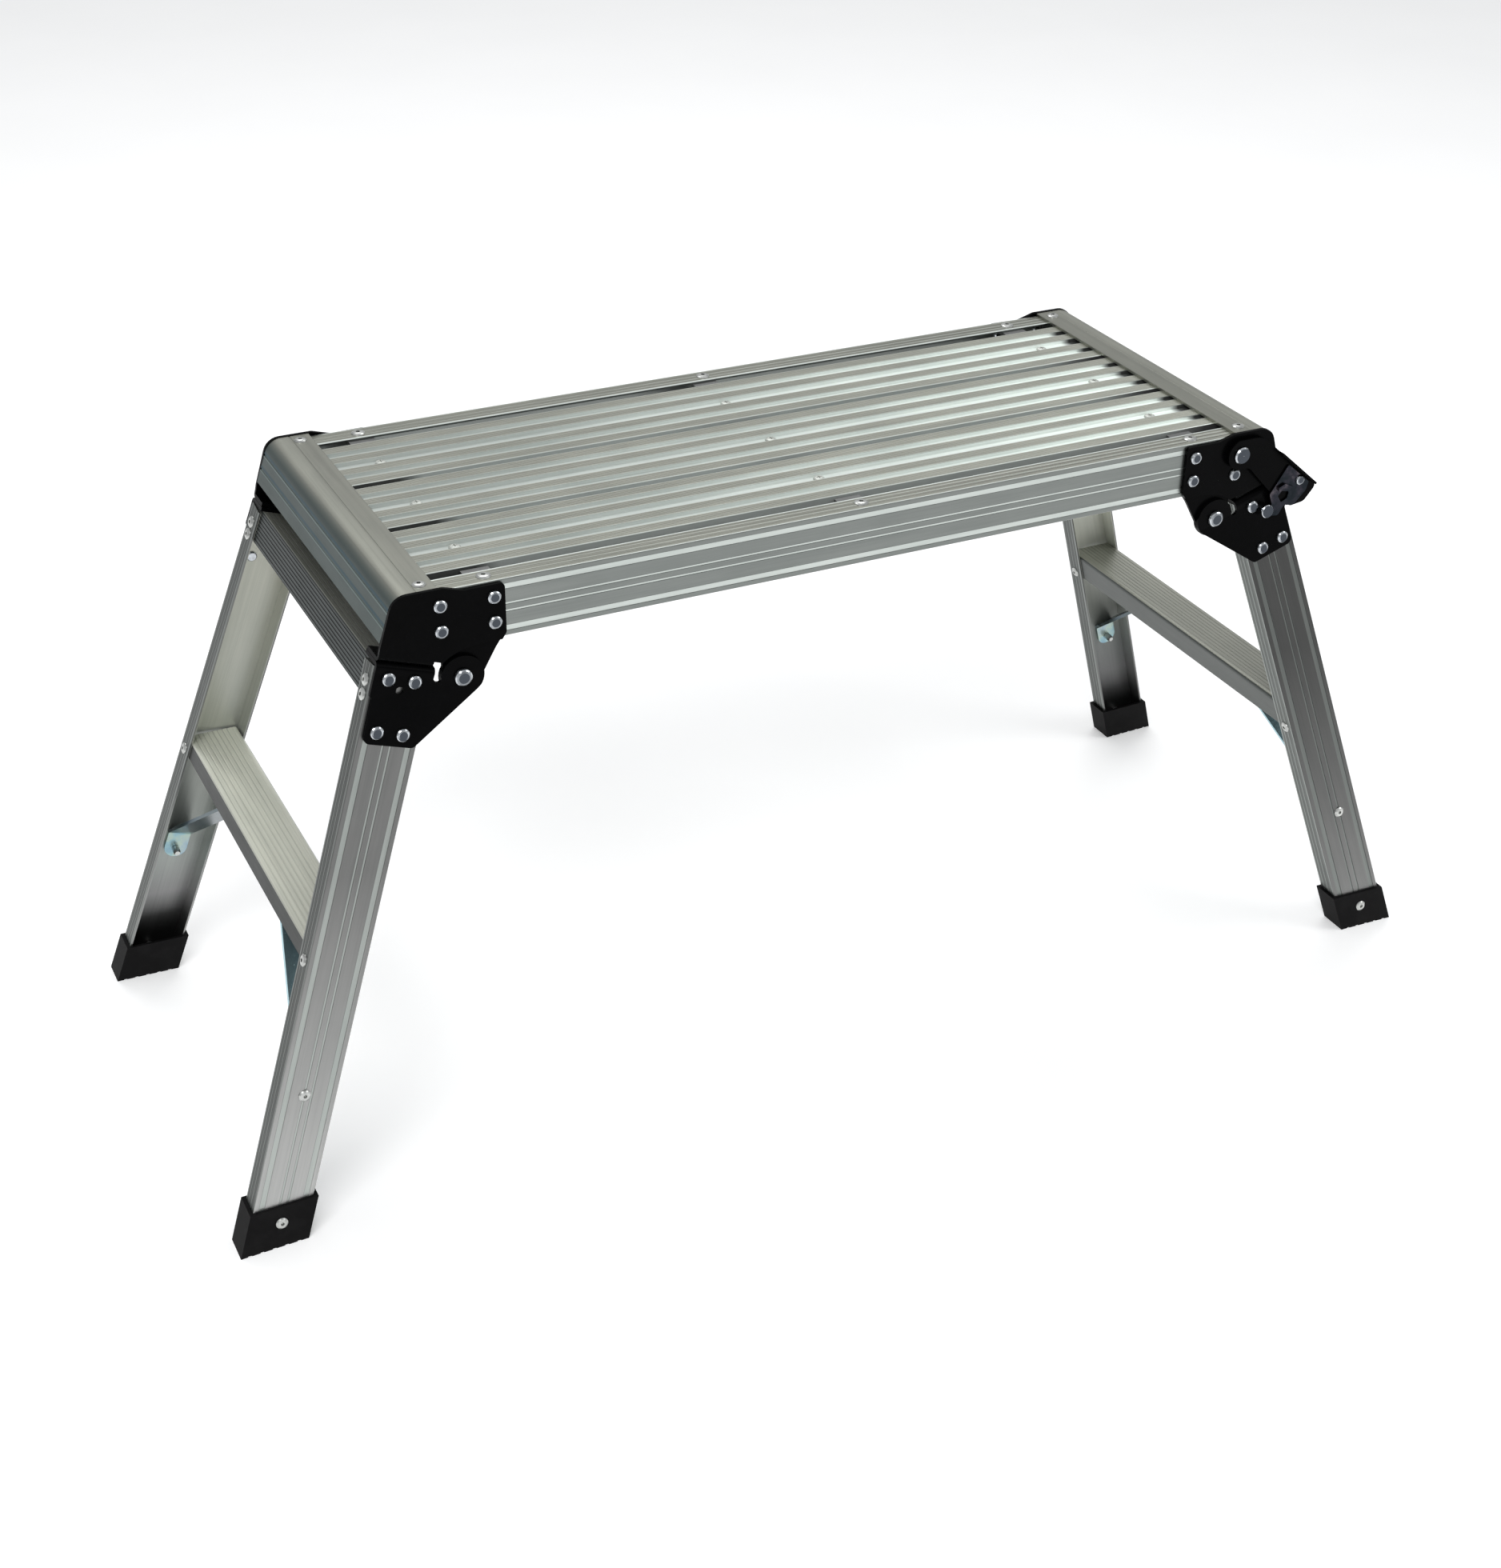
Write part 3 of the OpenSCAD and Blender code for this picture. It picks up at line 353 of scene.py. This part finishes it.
def step_paint(word, k, side_shade):
    def fn(m):
        z = m.dot(Z)
        top_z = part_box("step_" + word)[1].z
        tread = m.math("DIVIDE", m.math("SUBTRACT", z, top_z - 0.0012), 0.0003, clamp=True)
        x = m.math("ABSOLUTE", m.dot(X))
        # painted light and shade: the tread lightens from front to rear, its ribs are dark painted shade
        # lines, and the side has its own painted shade
        rib_shade = m.lines(x, STEP_X - 0.0045, -0.0042, 9, 0.0005)
        top_light_ramp = run(m, m.dot(Y), -0.17, 0.17, grey(k * 0.62, WARM), grey(k * 1.12, WARM))
        top = m.mix(m.math("MULTIPLY", rib_shade, 0.45), top_light_ramp, grey(k * 0.42, WARM))
        m.metal = m.math("SUBTRACT", 1.0, m.math("MULTIPLY", tread, 0.4))
        return m.mix(tread, grey(side_shade, COOL), top)
    return fn


def paint(name):
    m = Tree(name)
    peel = m.noise(m.p, 900.0, 2.0)
    cloud = m.noise(m.p, 35.0, 4.0)
    dust = m.noise(m.p, 260.0, 5.0, 0.7)
    col = m.ramp(m.math("ADD", m.math("MULTIPLY", cloud, 0.5), m.math("MULTIPLY", dust, 0.5)),
                 [(0.35, (0.0008, 0.0008, 0.0009)), (0.62, (0.0016, 0.0016, 0.0018)),
                  (0.8, (0.005, 0.005, 0.0053))])
    m.set("Base Color", col)
    m.set("Roughness", m.math("ADD", m.math("MULTIPLY", cloud, 0.14), 0.20))
    m.set("Specular IOR Level", 0.030)
    m.bump(peel, 0.10, 0.0004)
    return m.mat


def rubber(name):
    m = Tree(name)
    grain = m.noise(m.p, 2600.0, 3.0)
    cloud = m.noise(m.p, 55.0, 5.0, 0.65)
    scuff = m.ramp(cloud, [(0.45, (0.0042, 0.0040, 0.0042)), (0.7, (0.0080, 0.0077, 0.0080))])
    low = m.math("DIVIDE", m.math("SUBTRACT", 0.012, m.dot((0, 0, 1))), 0.012, clamp=True)
    dusty = m.math("MULTIPLY", m.math("MULTIPLY", low, cloud), 0.25)
    m.set("Base Color", m.mix(dusty, scuff, (0.018, 0.0175, 0.017)))
    m.set("Roughness", m.math("ADD", m.math("MULTIPLY", cloud, 0.2), 0.5))
    m.set("Specular IOR Level", 0.07)
    m.bump(m.math("ADD", m.math("MULTIPLY", grain, 0.7), m.math("MULTIPLY", cloud, 0.3)), 0.25, 0.0003)
    return m.mat


def zinc(name, stops, metal=1.0, arm_from=None, arm_light_shade=None):
    """Bluish zinc plate; stops are the colours from one end of the passivation's hues to the other; the
    tongue's pale last stop is a painted glint.
    """
    m = Tree(name)
    cloud = m.noise(m.p, 38.0, 3.0)
    spangle = m.noise(m.p, 420.0, 3.0)
    hue = m.ramp(m.math("ADD", m.math("MULTIPLY", cloud, 0.85), m.math("MULTIPLY", spangle, 0.15)),
                 list(zip((0.32, 0.43, 0.50, 0.57, 0.70), stops)))
    if arm_from is not None:
        # painted light and shade on the brace's upper arm, above arm_from
        arm = m.math("DIVIDE", m.math("SUBTRACT", m.dot(Z), arm_from), 0.0015, clamp=True)
        hue = m.mix(m.math("MULTIPLY", arm, 0.9), hue, arm_light_shade)
    m.set("Base Color", hue)
    m.set("Metallic", metal)
    m.set("Roughness", m.math("ADD", m.math("MULTIPLY", spangle, 0.16), 0.16))
    m.bump(m.math("ADD", m.math("MULTIPLY", spangle, 0.5), cloud), 0.08, 0.0005)
    return m.mat


ZINC_PALE = ((0.22, 0.36, 0.46), (0.30, 0.46, 0.50), (0.42, 0.52, 0.46), (0.36, 0.46, 0.50),
             (0.26, 0.40, 0.50))
# painted light and shade on the braces' upper arms: pale on the front braces, near-black on the rear ones
ARM_LIGHT_AND_SHADE = {"front": (0.40, 0.60, 0.66), "rear": (0.018, 0.042, 0.058)}
ARM_RISE = 0.0265
# the tongue's zinc hues, ending in a pale stop that is a painted glint
ZINC_DARK = ((0.010, 0.012, 0.016), (0.014, 0.018, 0.022), (0.026, 0.026, 0.034), (0.085, 0.075, 0.085),
             (0.34, 0.42, 0.44))


def steel(name, tint, rough=0.10, face_axis=None, face_tint=None):
    """Plated fastener; in front a face square to face_axis is dark, as if mirroring a dark room."""
    m = Tree(name)
    grain = m.noise(m.p, 1800.0, 2.0)
    cloud = m.noise(m.p, 240.0, 3.0)
    dark = tuple(k * 0.72 for k in tint)
    base = m.mix(m.ramp(cloud, [(0.35, 0.0), (0.65, 1.0)]), dark, tint)
    if face_axis is not None:
        n = m.t.nodes.new("ShaderNodeVectorMath")
        n.operation = "DOT_PRODUCT"
        m.t.links.new(m.t.nodes.new("ShaderNodeTexCoord").outputs["Normal"], n.inputs[0])
        n.inputs[1].default_value = face_axis
        square = m.math("SUBTRACT", m.math("ABSOLUTE", n.outputs["Value"]), 0.955)
        flat = m.math("DIVIDE", square, 0.03, clamp=True)
        flat = m.math("MULTIPLY", flat, m.span(m.dot(Y), -1, FRONT_Y))
        base = m.mix(flat, base, face_tint)
    m.set("Base Color", base)
    m.set("Metallic", 1.0)
    m.set("Roughness", m.math("ADD", m.math("MULTIPLY", grain, 0.12), rough))
    m.bump(m.math("ADD", grain, m.math("MULTIPLY", cloud, 1.5)), 0.08, 0.0002)
    return m.mat


def dress(name, mat):
    o = nodes[name]
    o.data.materials.clear()
    o.data.materials.append(mat)
    for p in o.data.polygons:
        p.material_index = 0


def edge(name, width, segments=2, angle=30):
    b = nodes[name].modifiers.new("edge", "BEVEL")
    b.width = width
    b.segments = segments
    b.limit_method = "ANGLE"
    b.angle_limit = math.radians(angle)
    b.harden_normals = True


NOSE_X = min(abs(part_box("end_nose_left")[0].x), abs(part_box("end_nose_left")[1].x))
STEP_X = max(abs(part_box("step_left")[0].x), abs(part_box("step_left")[1].x))
for name in ("deck_plank_front", "deck_plank_middle", "deck_plank_rear"):
    lo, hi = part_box(name)
    dress(name, aluminium("alu_" + name, X, plank_paint((lo.y + hi.y) / 2)).mat)
for name in ("side_rail_front", "side_rail_rear"):
    dress(name, aluminium("alu_" + name, X, rail_paint).mat)
# painted light and shade: each leg is given its own top, foot, inside and flange tones to match how it is
# lit
LEG_LIGHT_AND_SHADE = {("front", "left"): (0.185, 0.60, 0.44, 0.38, 0.12, 0.35),
             ("rear", "left"): (0.20, 0.40, 0.48, 0.38, 0.12, 0.35),
             ("front", "right"): (0.078, 0.36, 0.40, 0.30, 0.20, 0.35),
             ("rear", "right"): (0.16, 0.27, 1.0, 0.22, 0.15, 0.95)}
# painted light and shade: the left step's tread is painted lighter than the right's and its side darker
STEP_LIGHT_AND_SHADE = {"left": (0.85, 0.045), "right": (0.42, 0.13)}
for side, word in ((-1, "left"), (1, "right")):
    for face, end in ((-1, "front"), (1, "rear")):
        name = "leg_%s_%s" % (end, word)
        fn, down = leg_paint(side, face, *LEG_LIGHT_AND_SHADE[end, word])
        dress(name, aluminium("alu_" + name, down, fn).mat)
        brace = "brace_%s_%s" % (end, word)
        arm_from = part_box(brace)[0].z + ARM_RISE
        dress(brace, zinc("zinc_" + brace, ZINC_PALE, 0.85, arm_from, ARM_LIGHT_AND_SHADE[end]))
        dress("foot_%s_%s" % (end, word), rubber("rubber_%s_%s" % (end, word)))
        edge("foot_%s_%s" % (end, word), 0.0022, 4)
    dress("top_crossbar_" + word, aluminium("alu_bar_" + word, Y, bar_paint(side)).mat)
    dress("step_" + word, aluminium("alu_step_" + word, Y, step_paint(word, *STEP_LIGHT_AND_SHADE[word])).mat)
    dress("end_nose_" + word, aluminium("alu_nose_" + word, Y, nose_paint(side), rough=0.40).mat)
# painted shade: the brackets are painted darker than the other aluminium, a little lighter towards +X
dress("rail_brackets", aluminium("alu_bracket", X, plain(grey(0.20), grey(0.24))).mat)
member = aluminium("alu_member", Y, plain(grey(0.36), grey(0.42))).mat
for name in ("cross_member_left", "cross_member_middle", "cross_member_right"):
    dress(name, member)
black = paint("black_powder_coat")
for end in ("front", "rear"):
    for word in ("left", "right"):
        for kind in ("upper", "lower"):
            name = "%s_plate_%s_%s" % (kind, end, word)
            dress(name, black)
            edge(name, 0.0004)
dress("latch_lever", black)
edge("latch_lever", 0.0004)
dress("latch_tongue", zinc("zinc_tongue", ZINC_DARK))
edge("latch_tongue", 0.0002)
bright = steel("bright_steel", (0.62, 0.65, 0.68), 0.10, (0, 1, 0), (0.060, 0.068, 0.080))
soft_steel = steel("aluminium_rivet", (0.60, 0.61, 0.59), 0.24)
screw_steel = steel("deck_screw", (0.62, 0.64, 0.60), 0.50)
for name in ("upper_plate_rivets", "hinge_pins", "latch_pivot_rivet", "lower_plate_rivets_left",
             "lower_plate_rivets_right", "catch_pin", "bracket_rivets", "latch_tongue_rivet"):
    dress(name, bright)
for name in ("rail_rivets", "nose_rivets", "leg_rivets_left", "leg_rivets_right"):
    dress(name, soft_steel)
dress("deck_screws", screw_steel)

# ---------------------------------------------------------------- floor, light, camera
bpy.ops.mesh.primitive_plane_add(size=40, location=(0, 0, 0))
floor = bpy.context.object
floor.name = "floor"
m = Tree("pale_floor")
fl = m.noise(m.p, 3.0, 4.0)
m.set("Base Color", m.ramp(fl, [(0.3, (0.90, 0.90, 0.90)), (0.7, (0.92, 0.92, 0.92))]))
m.set("Emission Color", (1.0, 1.0, 1.0, 1.0))
m.set("Emission Strength", 0.22)
m.set("Roughness", 0.9)
m.set("Specular IOR Level", 0.1)
floor.data.materials.append(m.mat)

world = bpy.data.worlds.new("studio")
world.use_nodes = True
world.node_tree.nodes["Background"].inputs[0].default_value = (*STUDIO_GREY, 1)
world.node_tree.nodes["Background"].inputs[1].default_value = 0.55
scene.world = world


def area(name, loc, target, size, power, colour=(1, 1, 1)):
    d = bpy.data.lights.new(name, "AREA")
    d.shape = "RECTANGLE"
    d.size, d.size_y = size
    d.energy = power
    d.color = colour
    o = bpy.data.objects.new(name, d)
    scene.collection.objects.link(o)
    o.location = loc
    o.rotation_euler = (Vector(target) - Vector(loc)).to_track_quat("-Z", "Y").to_euler()
    return o


area("key", (-1.6, -1.9, 2.9), (0, 0, 0.3), (1.8, 1.2), 55)
area("fill", (2.6, -1.6, 2.0), (0, 0, 0.3), (1.6, 1.6), 22)
area("top", (0.6, 1.8, 3.2), (0, 0, 0.4), (2.6, 1.2), 40)

# the viewing direction, distance and tilt of the photo
CAM_MIDDLE = Vector((-0.0176, 0, 0.1765))
CAM_AWAY = 2.1293
az, el, roll = 0.465, 0.544, math.radians(1.03)
d = Vector((math.sin(az) * math.cos(el), math.cos(az) * math.cos(el), -math.sin(el)))
right = Vector((math.cos(az), -math.sin(az), 0))
up = right.cross(d)
r2 = right * math.cos(roll) + up * math.sin(roll)
u2 = up * math.cos(roll) - right * math.sin(roll)
eye = CAM_MIDDLE - d * CAM_AWAY
cam = bpy.data.cameras.new("camera")
cam.sensor_fit = "HORIZONTAL"
cam.sensor_width = 36.0
cam.lens = 57.06
cam_ob = bpy.data.objects.new("camera", cam)
scene.collection.objects.link(cam_ob)
cam_ob.matrix_world = Matrix(((r2.x, u2.x, -d.x, eye.x), (r2.y, u2.y, -d.y, eye.y),
                              (r2.z, u2.z, -d.z, eye.z), (0, 0, 0, 1)))
scene.camera = cam_ob
scene.view_settings.view_transform = "Standard"
